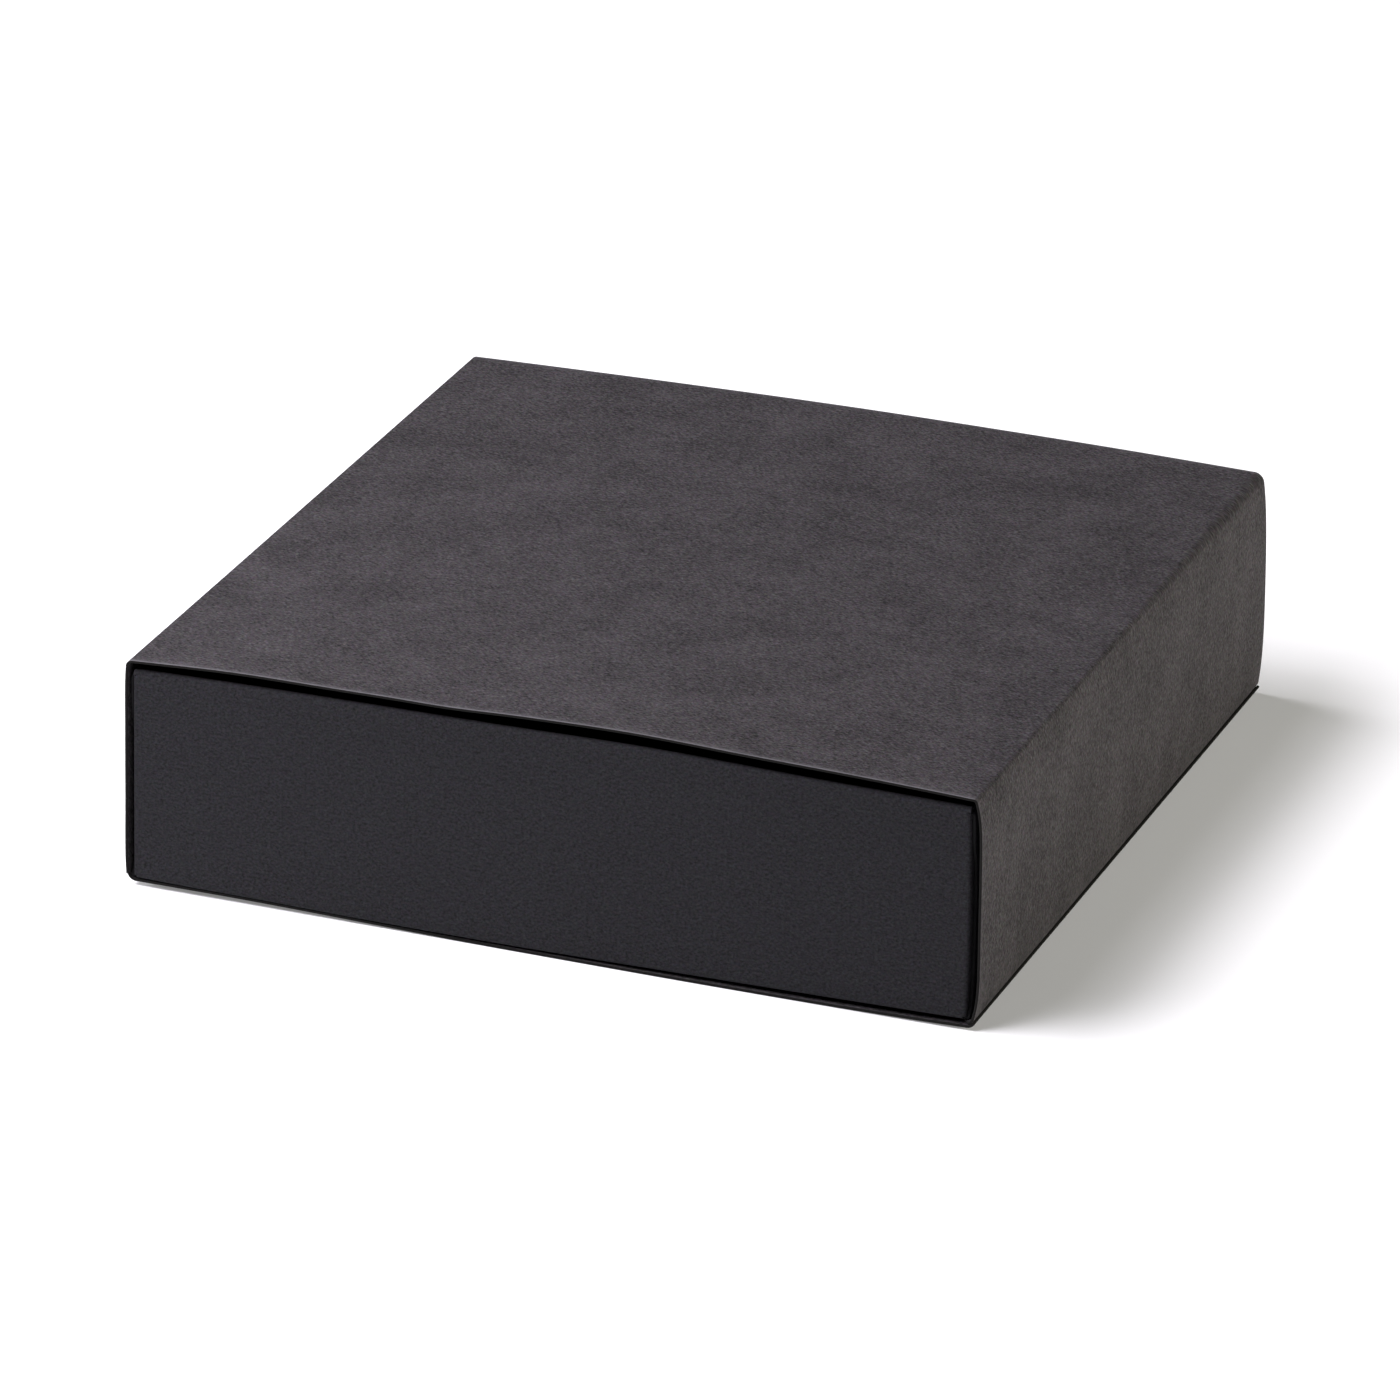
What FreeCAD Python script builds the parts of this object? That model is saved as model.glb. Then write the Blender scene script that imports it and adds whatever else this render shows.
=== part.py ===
import FreeCAD, Part
import math
import os
import Sketcher

# A flat drawer box folded from paperboard: a tray slides in a sleeve that is open at both ends.
#
# Frame: +Z up, +Y to the back, +X to the right.  The origin is at the middle of the footprint, on the
# surface that the box rests on.  All lengths are millimetres.

DOC = FreeCAD.newDocument("drawer_box")

# ---------------------------------------------------------------------------------------- dimensions

DIMENSIONS = [
    # Sleeve: width and height are measured to the sharp corners that the creases would make.
    ("sleeve_width", 150.0),
    ("sleeve_length", 151.5),
    ("sleeve_board", 0.5),
    ("front_height", 41.0),
    ("rear_height", 41.3),
    ("front_lean", 0.0),
    ("rear_lean", -0.3),
    ("front_left_crease", 1.4),
    ("front_right_crease", 1.2),
    ("rear_left_crease", 1.4),
    ("rear_right_crease", 2.0),
    # Each panel bows outward by this much in its middle.
    ("front_top_bow", 1.6),
    ("rear_top_bow", 1.0),
    ("front_left_bow", 0.25),
    ("rear_left_bow", 0.25),
    ("front_right_bow", 0.55),
    ("rear_right_bow", 0.9),
    # The bottom panel is flat in its middle and turns up a little towards both creases.
    ("lower_crease", 1.2),
    ("left_lift", 1.1),
    ("left_lift_run", 46.0),
    ("right_lift", 0.5),
    ("right_lift_run", 40.0),
    ("bottom_edge_setback", 0.95),
    ("flap_width", 22.0),
    ("glue", 0.15),
    ("seam_glue_margin", 3.0),
    # Tray: a flat bottom with four double walls.
    ("tray_width", 147.8),
    ("tray_length", 151.0),
    ("tray_board", 0.45),
    ("tray_base", 1.9),
    ("tray_top", 39.95),
    ("tray_crease", 0.9),
    ("layer_gap", 0.65),
    ("foot_gap", 0.15),
    ("side_corner_cut", 1.5),
    ("tab_length", 16.0),
    ("tab_crease", 0.8),
    ("tab_end_gap", 0.1),
    ("ear_height", 1.3),
    ("ear_reach", 0.35),
    # Glue spots on the corner tabs.
    ("spot_length", 10.0),
    ("spot_height", 24.0),
]

SHEET = DOC.addObject("Spreadsheet::Sheet", "dims")
for row, (alias, value) in enumerate(DIMENSIONS, start=1):
    SHEET.set(f"A{row}", alias)
    SHEET.set(f"B{row}", str(value))
    SHEET.setAlias(f"B{row}", alias)
DOC.recompute()


class Size:
    """A length with its value and the expression that gives it from the sheet."""

    def __init__(self, value, text):
        self.value = value
        self.text = text

    def _combine(self, other, sign, result):
        text = other.text if isinstance(other, Size) else repr(float(other))
        return Size(result, f"({self.text} {sign} {text})")

    def __add__(self, other):
        return self._combine(other, "+", self.value + number(other))

    def __sub__(self, other):
        return self._combine(other, "-", self.value - number(other))

    def __mul__(self, other):
        return self._combine(other, "*", self.value * number(other))

    def __truediv__(self, other):
        return self._combine(other, "/", self.value / number(other))

    def __neg__(self):
        return Size(-self.value, f"(0 - {self.text})")


def number(size):
    return size.value if isinstance(size, Size) else float(size)


def size(alias):
    return Size(float(getattr(SHEET, alias)), f"dims.{alias}")


ZERO = Size(0.0, "0")

# --------------------------------------------------------------------------------------- sketch tools


def new_body(name):
    body = DOC.addObject("PartDesign::Body", name)
    body.Label = name
    return body


def new_sketch(body, name, plane, offset=None):
    """A sketch on one of the body's origin planes, moved along the plane's normal by offset."""
    sketch = body.newObject("Sketcher::SketchObject", name)
    origin_planes = {feature.Role: feature for feature in body.Origin.OriginFeatures}
    sketch.AttachmentSupport = [(origin_planes[plane], "")]
    sketch.MapMode = "FlatFace"
    if offset is not None:
        sketch.setExpression("AttachmentOffset.Base.z", offset.text)
    return sketch


def vector(x, y):
    return FreeCAD.Vector(number(x), number(y), 0.0)


def point_at(centre, radius, degrees):
    angle = math.radians(degrees)
    return (number(centre[0]) + number(radius) * math.cos(angle),
            number(centre[1]) + number(radius) * math.sin(angle))


class Outline:
    """A closed outline in a sketch, drawn edge after edge.

    Each edge is kept as its number, the vertex where the outline enters it and the one where it leaves.
    Sketcher numbers the start of an edge 1, its end 2 and the centre of an arc 3.
    """

    START, END, CENTRE = 1, 2, 3
    AXES = -1

    def __init__(self, sketch):
        self.sketch = sketch
        self.edges = []
        self.smooth = []

    def line(self, start, end, smooth=True):
        edge = self.sketch.addGeometry(Part.LineSegment(vector(*start), vector(*end)), False)
        self.edges.append((edge, self.START, self.END))
        self.smooth.append(smooth)
        return edge

    def arc(self, centre, radius, enter, leave, smooth=True):
        """An arc from the angle enter to the angle leave, in degrees, either way round."""
        circle = Part.Circle(vector(*centre), FreeCAD.Vector(0, 0, 1), number(radius))
        low, high = sorted((enter, leave))
        arc = Part.ArcOfCircle(circle, math.radians(low), math.radians(high))
        edge = self.sketch.addGeometry(arc, False)
        forward = leave > enter
        self.edges.append((edge, self.START if forward else self.END, self.END if forward else self.START))
        self.smooth.append(smooth)
        self.drive(("Radius", edge), radius)
        return edge

    def drive(self, constraint, length):
        """Adds a dimension and binds it to the sheet."""
        index = self.sketch.addConstraint(Sketcher.Constraint(*constraint, number(length)))
        self.sketch.setExpression(f"Constraints[{index}]", length.text)

    def place(self, edge, vertex, x=None, y=None):
        """Holds a vertex at its distances from the sketch's axes."""
        if x is not None:
            self.drive(("DistanceX", self.AXES, self.START, edge, vertex), x)
        if y is not None:
            self.drive(("DistanceY", self.AXES, self.START, edge, vertex), y)

    def put_on_x_axis(self, edge, vertex):
        self.sketch.addConstraint(Sketcher.Constraint("PointOnObject", edge, vertex, self.AXES))

    def share_centre(self, first, second):
        self.sketch.addConstraint(Sketcher.Constraint("Coincident", first, self.CENTRE, second, self.CENTRE))

    def straight(self, edge, kind):
        self.sketch.addConstraint(Sketcher.Constraint(kind, edge))

    def close(self):
        """Joins every edge to the next, smoothly where both sides of the joint say so."""
        for index, (edge, _, leave) in enumerate(self.edges):
            following = (index + 1) % len(self.edges)
            next_edge, enter, _ = self.edges[following]
            kind = "Tangent" if self.smooth[index] and self.smooth[following] else "Coincident"
            self.sketch.addConstraint(Sketcher.Constraint(kind, edge, leave, next_edge, enter))


def pad(body, sketch, name, length, symmetric=True):
    feature = body.newObject("PartDesign::Pad", name)
    feature.Profile = sketch
    feature.setExpression("Length", length.text)
    if symmetric:
        feature.SideType = "Symmetric"
    DOC.recompute()
    return feature


# -------------------------------------------------------------------------------------------- sleeve


def bow_radius(chord, bow, crease_a, crease_b):
    """Radius of a panel that bows outward by bow between two creases."""
    return chord * chord / (bow * 8) + bow / 2 + (crease_a + crease_b) / 2


def direction(start, end):
    """Angle in degrees of the line from start to end."""
    return math.degrees(math.atan2(number(end[1]) - number(start[1]), number(end[0]) - number(start[0])))


def panel_centre(first, first_radius, second, second_radius, radius):
    """Centre of the panel's arc, on the right of the way from the first crease to the second."""
    x1, y1 = number(first[0]), number(first[1])
    x2, y2 = number(second[0]), number(second[1])
    reach1 = number(radius) - number(first_radius)
    reach2 = number(radius) - number(second_radius)
    gap = math.hypot(x2 - x1, y2 - y1)
    along = (reach1 ** 2 - reach2 ** 2 + gap ** 2) / (2 * gap)
    aside = math.sqrt(reach1 ** 2 - along ** 2)
    ux, uy = (x2 - x1) / gap, (y2 - y1) / gap
    return x1 + along * ux + aside * uy, y1 + along * uy - aside * ux


class BottomCurve:
    """The bottom panel's right-hand lift, an arc whose lowest point is where the flat middle ends."""

    def __init__(self):
        run, lift = size("right_lift_run"), size("right_lift")
        self.radius = run * run / (lift * 2) + lift / 2
        self.x = size("sleeve_width") / 2 - run
        self.centre = (self.x, self.radius)

    def angle(self, x, radius):
        """Angle of the point at x on the circle of this radius about the same centre."""
        return -90.0 + math.degrees(math.asin((number(x) - number(self.x)) / number(radius)))


def sleeve_section(body, end, offset):
    """The sleeve's sheet seen from the front, as it is cut at one of its ends.

    The sheet starts at the free edge of the bottom panel, at the lower right.  It runs along the bottom,
    up the left, along the top and down the right, and ends in the glue flap above the bottom panel.
    """
    half = size("sleeve_width") / 2
    board = size("sleeve_board")
    height, lean = size(f"{end}_height"), size(f"{end}_lean")
    left_crease, right_crease = size(f"{end}_left_crease"), size(f"{end}_right_crease")
    low_crease = size("lower_crease")
    curve = BottomCurve()
    flap_outer = curve.radius - board - size("glue")
    flap_inner = flap_outer - board

    top_left = (-half + left_crease + lean, height - left_crease)
    top_right = (half - right_crease + lean, height - right_crease)
    low_left = (-half + low_crease, size("left_lift") + low_crease)
    low_right_x = half - low_crease
    low_right_reach = number(flap_outer) - number(low_crease)
    low_right_aside = number(low_right_x) - number(curve.x)
    low_right = (low_right_x, number(curve.radius) - math.sqrt(low_right_reach ** 2 - low_right_aside ** 2))

    side_chord = height - low_crease
    left_radius = bow_radius(side_chord - left_crease, size(f"{end}_left_bow"), left_crease, low_crease)
    right_radius = bow_radius(side_chord - right_crease, size(f"{end}_right_bow"), right_crease, low_crease)
    top_chord = size("sleeve_width") - left_crease - right_crease
    top_radius = bow_radius(top_chord, size(f"{end}_top_bow"), left_crease, right_crease)
    lift, run = size("left_lift"), size("left_lift_run")
    lift_radius = bow_radius(run * 2, lift, low_crease, low_crease)

    left_centre = panel_centre(low_left, low_crease, top_left, left_crease, left_radius)
    top_centre = panel_centre(top_left, left_crease, top_right, right_crease, top_radius)
    right_centre = panel_centre(top_right, right_crease, low_right, low_crease, right_radius)
    lift_centre = (low_left[0] + run, lift_radius)

    # Angles at which the sheet passes from one curve to the next, falling all the way round.
    free_edge_turn = 360 + curve.angle(half - size("bottom_edge_setback"), curve.radius)
    lift_turn = 270.0
    low_left_turn = direction(lift_centre, low_left) % 360
    left_low_turn = direction(left_centre, low_left) % 360
    left_top_turn = direction(left_centre, top_left) % 360
    top_left_turn = direction(top_centre, top_left)
    top_right_turn = direction(top_centre, top_right)
    right_top_turn = direction(right_centre, top_right)
    right_low_turn = direction(right_centre, low_right)
    flap_turn = direction(curve.centre, low_right)
    flap_end_turn = curve.angle(half - size("flap_width"), flap_outer)
    bends = {
        # centre, outer radius, angle where the sheet enters, angle where it leaves
        "lift": (lift_centre, lift_radius, lift_turn, low_left_turn),
        "low_left": (low_left, low_crease, low_left_turn, left_low_turn),
        "left": (left_centre, left_radius, left_low_turn, left_top_turn),
        "top_left": (top_left, left_crease, left_top_turn, top_left_turn),
        "top": (top_centre, top_radius, top_left_turn, top_right_turn),
        "top_right": (top_right, right_crease, top_right_turn, right_top_turn),
        "right": (right_centre, right_radius, right_top_turn, right_low_turn),
        "low_right": (low_right, low_crease, right_low_turn, flap_turn),
    }

    sketch = new_sketch(body, f"{end}_section", "XZ_Plane", offset)
    outline = Outline(sketch)

    # Outside of the sheet.
    outer_lift = outline.arc(curve.centre, curve.radius, free_edge_turn, lift_turn)
    outer_flat = outline.line((curve.x, ZERO), (lift_centre[0], ZERO))
    outer = {}
    for name, (middle, radius, enter, leave) in bends.items():
        outer[name] = outline.arc(middle, radius, enter, leave)
    flap_under = outline.arc(curve.centre, flap_outer, flap_turn, flap_end_turn)
    flap_end = outline.line(point_at(curve.centre, flap_outer, flap_end_turn),
                            point_at(curve.centre, flap_inner, flap_end_turn), smooth=False)
    # Inside of the sheet, back to the free edge.
    flap_over = outline.arc(curve.centre, flap_inner, flap_end_turn, flap_turn)
    inner = {}
    for name, (middle, radius, enter, leave) in reversed(bends.items()):
        inner[name] = outline.arc(middle, radius - board, leave, enter)
    inner_flat = outline.line((lift_centre[0], board), (curve.x, board))
    outline.arc(curve.centre, curve.radius - board, lift_turn, free_edge_turn)
    free_edge = outline.line(point_at(curve.centre, curve.radius - board, free_edge_turn),
                             point_at(curve.centre, curve.radius, free_edge_turn), smooth=False)
    outline.close()

    outline.straight(outer_flat, "Horizontal")
    outline.place(outer_flat, Outline.START, curve.x)
    outline.put_on_x_axis(outer_flat, Outline.START)
    outline.straight(inner_flat, "Horizontal")
    outline.place(inner_flat, Outline.END, curve.x, board)
    for name, middle in (("top_left", top_left), ("top_right", top_right), ("low_left", low_left)):
        outline.place(outer[name], Outline.CENTRE, *middle)
    outline.place(outer["low_right"], Outline.CENTRE, low_right_x)
    for name in ("top_left", "top_right", "low_left", "low_right"):
        outline.share_centre(outer[name], inner[name])
    outline.share_centre(outer_lift, flap_under)
    outline.place(flap_over, Outline.CENTRE, curve.x)
    outline.place(flap_end, Outline.START, half - size("flap_width"))
    outline.straight(flap_end, "Vertical")
    outline.place(free_edge, Outline.END, half - size("bottom_edge_setback"))
    outline.straight(free_edge, "Vertical")
    DOC.recompute()
    return sketch


def make_sleeve():
    body = new_body("sleeve")
    reach = size("sleeve_length") / 2
    front = sleeve_section(body, "front", reach)
    rear = sleeve_section(body, "rear", -reach)
    loft = body.newObject("PartDesign::AdditiveLoft", "sleeve_sheet")
    loft.Profile = front
    loft.Sections = [rear]
    loft.Ruled = True
    DOC.recompute()
    return body


def make_seam_glue():
    """The adhesive that fills the gap between the bottom panel and the flap."""
    body = new_body("sleeve_seam_glue")
    curve = BottomCurve()
    low = curve.radius - size("sleeve_board")
    high = low - size("glue")
    margin = size("seam_glue_margin")
    left = size("sleeve_width") / 2 - size("flap_width") + margin
    right = size("sleeve_width") / 2 - size("lower_crease") - margin
    sketch = new_sketch(body, "seam_section", "XZ_Plane")
    outline = Outline(sketch)
    low_angles = (curve.angle(left, low), curve.angle(right, low))
    high_angles = (curve.angle(right, high), curve.angle(left, high))
    under = outline.arc(curve.centre, low, *low_angles, smooth=False)
    right_end = outline.line(point_at(curve.centre, low, low_angles[1]),
                             point_at(curve.centre, high, high_angles[0]), smooth=False)
    over = outline.arc(curve.centre, high, *high_angles, smooth=False)
    left_end = outline.line(point_at(curve.centre, high, high_angles[1]),
                            point_at(curve.centre, low, low_angles[0]), smooth=False)
    outline.close()
    outline.place(under, Outline.CENTRE, *curve.centre)
    outline.share_centre(under, over)
    outline.place(right_end, Outline.START, right)
    outline.straight(right_end, "Vertical")
    outline.place(left_end, Outline.START, left)
    outline.straight(left_end, "Vertical")
    pad(body, sketch, "seam_strip", size("sleeve_length") - margin * 2)
    return body


# ---------------------------------------------------------------------------------------------- tray


class Tray:
    """Sizes that the tray's features share."""

    def __init__(self):
        self.board = size("tray_board")
        self.crease = size("tray_crease")
        self.base = size("tray_base")
        self.top = size("tray_top")
        self.gap = size("layer_gap")
        self.half_width = size("tray_width") / 2
        self.half_length = size("tray_length") / 2
        self.fold = self.board + self.gap / 2
        self.fold_height = self.top - self.fold
        self.wall = self.board * 2 + self.gap
        self.foot = self.base + self.board + size("foot_gap")
        # The corner tabs run in the middle of the gap between the two layers of a side wall.
        self.tab_clearance = (self.gap - self.board) / 2
        self.face_half_width = self.half_width - self.board - self.tab_clearance


def side_wall_section(body, tray):
    """Both side walls and the bottom in one piece, seen from the front."""
    sketch = new_sketch(body, "side_wall_section", "XZ_Plane")
    outline = Outline(sketch)
    board, crease, fold, half = tray.board, tray.crease, tray.fold, tray.half_width
    low, high = tray.base + crease, tray.fold_height
    in_fold, in_crease = tray.gap / 2, crease - board

    def upright(x, z_from, z_to):
        return outline.line((x, z_from), (x, z_to))

    inner_face, hidden_face = half - tray.wall, half - board - tray.gap
    left_fold, right_fold = (-half + fold, high), (half - fold, high)
    left_crease, right_crease = (-half + crease, low), (half - crease, low)

    faces = [upright(-inner_face, tray.foot, high)]
    left_outer = outline.arc(left_fold, fold, 0, 180)
    upright(-half, high, low)
    left_bend = outline.arc(left_crease, crease, 180, 270)
    outline.line((left_crease[0], tray.base), (right_crease[0], tray.base))
    right_bend = outline.arc(right_crease, crease, 270, 360)
    upright(half, low, high)
    right_outer = outline.arc(right_fold, fold, 0, 180)
    faces.append(upright(inner_face, high, tray.foot))
    right_foot = outline.line((inner_face, tray.foot), (hidden_face, tray.foot), smooth=False)
    faces.append(upright(hidden_face, tray.foot, high))
    right_inner = outline.arc(right_fold, in_fold, 180, 0)
    upright(half - board, high, low)
    right_inner_bend = outline.arc(right_crease, in_crease, 360, 270)
    outline.line((right_crease[0], tray.base + board), (left_crease[0], tray.base + board))
    left_inner_bend = outline.arc(left_crease, in_crease, 270, 180)
    upright(-half + board, low, high)
    left_inner = outline.arc(left_fold, in_fold, 180, 0)
    faces.append(upright(-hidden_face, high, tray.foot))
    left_foot = outline.line((-hidden_face, tray.foot), (-inner_face, tray.foot), smooth=False)
    outline.close()

    for arc, middle in ((left_outer, left_fold), (right_outer, right_fold),
                        (left_bend, left_crease), (right_bend, right_crease)):
        outline.place(arc, Outline.CENTRE, *middle)
    for arc, partner in ((left_outer, left_inner), (right_outer, right_inner),
                         (left_bend, left_inner_bend), (right_bend, right_inner_bend)):
        outline.share_centre(arc, partner)
    for face in faces:
        outline.straight(face, "Vertical")
    for foot in (left_foot, right_foot):
        outline.straight(foot, "Horizontal")
        outline.place(foot, Outline.START, None, tray.foot)
    DOC.recompute()
    return sketch


def cut_side_corners(body, tray):
    """Takes the upper corners off both ends of the side walls, so that they don't catch."""
    sketch = new_sketch(body, "side_corner_section", "YZ_Plane")
    cut = size("side_corner_cut")
    above, below = tray.top + cut, tray.top - cut * 2
    for side in (-1, 1):
        # The slanted edge passes through the wall's end and its top, each one cut away from the corner.
        wall_end = (tray.half_length - tray.crease) * side
        outside = wall_end + cut * side
        inside = wall_end - cut * 2 * side
        outline = Outline(sketch)
        outline.line((outside, below), (inside, above), smooth=False)
        top_edge = outline.line((inside, above), (outside, above), smooth=False)
        end_edge = outline.line((outside, above), (outside, below), smooth=False)
        outline.close()
        outline.straight(top_edge, "Horizontal")
        outline.straight(end_edge, "Vertical")
        outline.place(top_edge, Outline.START, inside, above)
        outline.place(end_edge, Outline.END, outside, below)
    pocket = body.newObject("PartDesign::Pocket", "side_corner_cuts")
    pocket.Profile = sketch
    pocket.setExpression("Length", (size("tray_width") * 2).text)
    pocket.SideType = "Symmetric"
    DOC.recompute()
    return pocket


def tab_section(body, tray):
    """The front wall's outer layer and its two corner tabs, seen from above."""
    low = tray.base + tray.crease
    sketch = new_sketch(body, "front_tab_section", "XY_Plane", low)
    outline = Outline(sketch)
    bend, board, half = size("tab_crease"), tray.board, tray.face_half_width
    front, tab_end = -tray.half_length, -tray.half_length + size("tab_length")
    left_bend, right_bend = (-half + bend, front + bend), (half - bend, front + bend)
    sides = [outline.line((-half, tab_end), (-half, left_bend[1]))]
    left_outer = outline.arc(left_bend, bend, 180, 270)
    outline.line((left_bend[0], front), (right_bend[0], front))
    right_outer = outline.arc(right_bend, bend, 270, 360)
    sides.append(outline.line((half, right_bend[1]), (half, tab_end)))
    right_end = outline.line((half, tab_end), (half - board, tab_end), smooth=False)
    sides.append(outline.line((half - board, tab_end), (half - board, right_bend[1])))
    right_inner = outline.arc(right_bend, bend - board, 360, 270)
    outline.line((right_bend[0], front + board), (left_bend[0], front + board))
    left_inner = outline.arc(left_bend, bend - board, 270, 180)
    sides.append(outline.line((-half + board, left_bend[1]), (-half + board, tab_end)))
    left_end = outline.line((-half + board, tab_end), (-half, tab_end), smooth=False)
    outline.close()
    for arc, partner, middle in ((left_outer, left_inner, left_bend), (right_outer, right_inner, right_bend)):
        outline.place(arc, Outline.CENTRE, *middle)
        outline.share_centre(arc, partner)
    for side in sides:
        outline.straight(side, "Vertical")
    for end in (left_end, right_end):
        outline.straight(end, "Horizontal")
        outline.place(end, Outline.START, None, tab_end)
    return pad(body, sketch, "front_tabs", tray.fold_height - tray.tab_clearance - low, symmetric=False)


def front_wall(body, tray):
    """The front wall's two layers and the roll-over that joins them, seen from the right."""
    sketch = new_sketch(body, "front_wall_section", "YZ_Plane")
    outline = Outline(sketch)
    board, crease, fold, front = tray.board, tray.crease, tray.fold, -tray.half_length
    low, high = tray.base + crease, tray.fold_height
    root = front + crease * 4
    inner_face, hidden_face = front + tray.wall, front + board + tray.gap
    bend, roll = (front + crease, low), (front + fold, high)
    under = outline.line((root, tray.base), (bend[0], tray.base))
    bend_outer = outline.arc(bend, crease, 270, 180)
    outline.line((front, low), (front, high))
    roll_outer = outline.arc(roll, fold, 180, 0)
    face = outline.line((inner_face, high), (inner_face, tray.foot))
    foot = outline.line((inner_face, tray.foot), (hidden_face, tray.foot), smooth=False)
    hidden = outline.line((hidden_face, tray.foot), (hidden_face, high))
    roll_inner = outline.arc(roll, tray.gap / 2, 0, 180)
    outline.line((front + board, high), (front + board, low))
    bend_inner = outline.arc(bend, crease - board, 180, 270)
    over = outline.line((bend[0], tray.base + board), (root, tray.base + board))
    root_end = outline.line((root, tray.base + board), (root, tray.base), smooth=False)
    outline.close()
    outline.place(bend_outer, Outline.CENTRE, *bend)
    outline.share_centre(bend_outer, bend_inner)
    outline.place(roll_outer, Outline.CENTRE, *roll)
    outline.share_centre(roll_outer, roll_inner)
    for line, kind in ((face, "Vertical"), (hidden, "Vertical"), (foot, "Horizontal"),
                       (under, "Horizontal"), (over, "Horizontal"), (root_end, "Vertical")):
        outline.straight(line, kind)
    outline.place(foot, Outline.START, None, tray.foot)
    outline.place(root_end, Outline.START, root)
    width = (tray.half_width - tray.wall - size("tab_end_gap")) * 2
    return pad(body, sketch, "front_roll_over", width)


def front_ear(body, tray):
    """The strip along the top of the front wall, which is a little wider than the wall's face."""
    sketch = new_sketch(body, "front_ear_section", "YZ_Plane")
    outline = Outline(sketch)
    board, fold, front = tray.board, tray.fold, -tray.half_length
    high, low = tray.fold_height, tray.top - size("ear_height")
    roll = (front + fold, high)
    outside = outline.line((front, low), (front, high))
    roll_outer = outline.arc(roll, fold, 180, 90)
    cut = outline.line((roll[0], tray.top), (roll[0], tray.top - board), smooth=False)
    roll_inner = outline.arc(roll, tray.gap / 2, 90, 180)
    inside = outline.line((front + board, high), (front + board, low))
    lower = outline.line((front + board, low), (front, low), smooth=False)
    outline.close()
    outline.place(roll_outer, Outline.CENTRE, *roll)
    outline.share_centre(roll_outer, roll_inner)
    for line, kind in ((outside, "Vertical"), (inside, "Vertical"), (cut, "Vertical"), (lower, "Horizontal")):
        outline.straight(line, kind)
    outline.place(cut, Outline.START, roll[0])
    outline.place(lower, Outline.START, None, low)
    return pad(body, sketch, "front_ears", (tray.face_half_width + size("ear_reach")) * 2)


def make_tray():
    body = new_body("tray")
    tray = Tray()
    pad(body, side_wall_section(body, tray), "side_walls", (tray.half_length - tray.crease) * 2)
    cut_side_corners(body, tray)
    front = [tab_section(body, tray), front_wall(body, tray), front_ear(body, tray)]
    back = body.newObject("PartDesign::Mirrored", "back_wall")
    back.Originals = front
    origin_planes = {feature.Role: feature for feature in body.Origin.OriginFeatures}
    back.MirrorPlane = (origin_planes["XZ_Plane"], [""])
    body.Tip = back
    DOC.recompute()
    return body


def make_corner_glue(name, x_side, y_side):
    """Adhesive between one corner tab and the outer layer of the side wall."""
    tray = Tray()
    spot = DOC.addObject("Part::Box", name)
    spot.Label = name
    spot.setExpression("Length", tray.tab_clearance.text)
    spot.setExpression("Width", size("spot_length").text)
    spot.setExpression("Height", size("spot_height").text)
    outer_face = tray.half_width - tray.board
    x = outer_face - tray.tab_clearance if x_side > 0 else -outer_face
    tab_middle = tray.half_length - (size("tab_length") + size("tab_crease")) / 2
    y = tab_middle * y_side - size("spot_length") / 2
    z = (tray.base + tray.top - size("spot_height")) / 2
    for axis, place in (("x", x), ("y", y), ("z", z)):
        spot.setExpression(f"Placement.Base.{axis}", place.text)
    DOC.recompute()
    return spot


# -------------------------------------------------------------------------------------------- export


def check(part):
    """Stops the build if a sub-part isn't one valid solid."""
    shape = part.Shape
    if shape.isNull() or not shape.isValid() or len(shape.Solids) != 1:
        raise RuntimeError(f"{part.Label} is not one valid solid")


def main():
    parts = [make_sleeve(), make_seam_glue(), make_tray()]
    for y_name, y_side in (("front", -1), ("back", 1)):
        for x_name, x_side in (("left", -1), ("right", 1)):
            parts.append(make_corner_glue(f"tray_corner_glue_{y_name}_{x_name}", x_side, y_side))
    DOC.recompute()
    for item in DOC.Objects:
        if "Invalid" in item.State or "Error" in item.State:
            raise RuntimeError(f"{item.Label} failed to compute")
    os.makedirs("parts", exist_ok=True)
    for part in parts:
        check(part)
        part.Shape.exportStep(f"parts/{part.Label}.step")
        box = part.Shape.optimalBoundingBox(False)
        print(f"{part.Label}: volume {part.Shape.Volume:.1f}, "
              f"x {box.XMin:.2f} to {box.XMax:.2f}, y {box.YMin:.2f} to {box.YMax:.2f}, "
              f"z {box.ZMin:.2f} to {box.ZMax:.2f}")


main()
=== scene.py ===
import math

import bpy
import numpy as np
from mathutils import Matrix, Vector


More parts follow.
